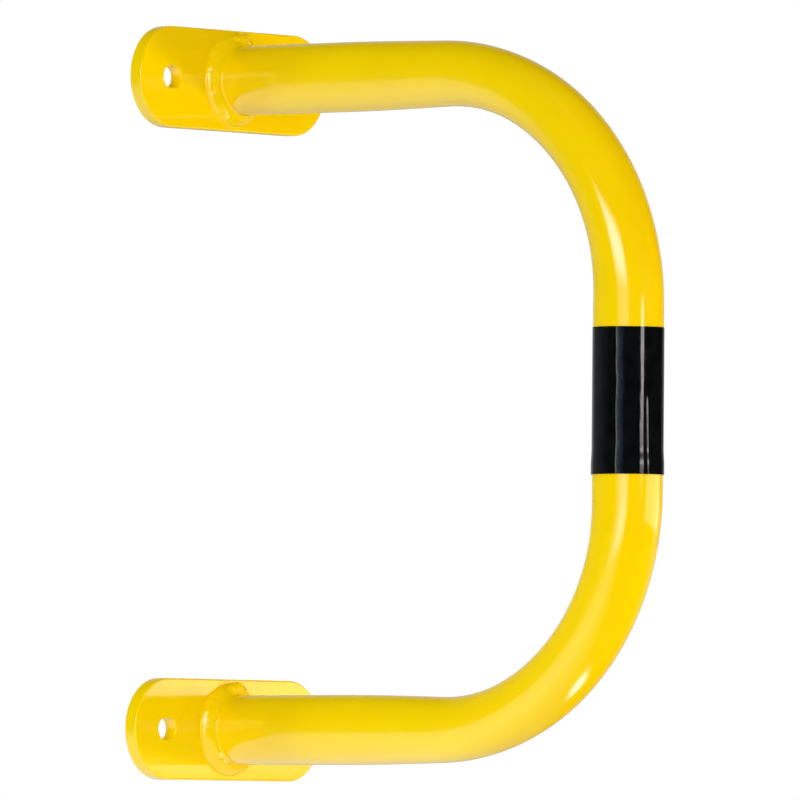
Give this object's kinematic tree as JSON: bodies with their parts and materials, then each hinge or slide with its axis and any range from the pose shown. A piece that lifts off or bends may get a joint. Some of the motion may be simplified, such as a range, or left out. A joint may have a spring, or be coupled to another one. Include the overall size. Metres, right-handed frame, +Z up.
{
  "type": "wall-mounted hoop guard",
  "caption": "Bent steel tube hoop guard with obround wall plates, weld beads and a dark marking band; stands out from a wall and takes knocks.",
  "frame": {"origin": "on the wall plane, at the centre of the four fixing slots, midway between the two plates", "axes": "+X points out of the wall along the legs, +Z up along the upright run, Y along the plates"},
  "size_m": [0.38, 0.205, 0.52],
  "materials": {
    "yellow_powder_coat": "gloss powder coat with a faint orange peel",
    "black_film": "glossy adhesive film, slightly wrinkled along its length"
  },
  "bodies": {
    "root": {"hoop_tube": "yellow_powder_coat", "upper_wall_plate": "yellow_powder_coat", "lower_wall_plate": "yellow_powder_coat", "upper_weld_bead": "yellow_powder_coat", "lower_weld_bead": "yellow_powder_coat", "marking_band": "black_film"}
  },
  "joints": []
}
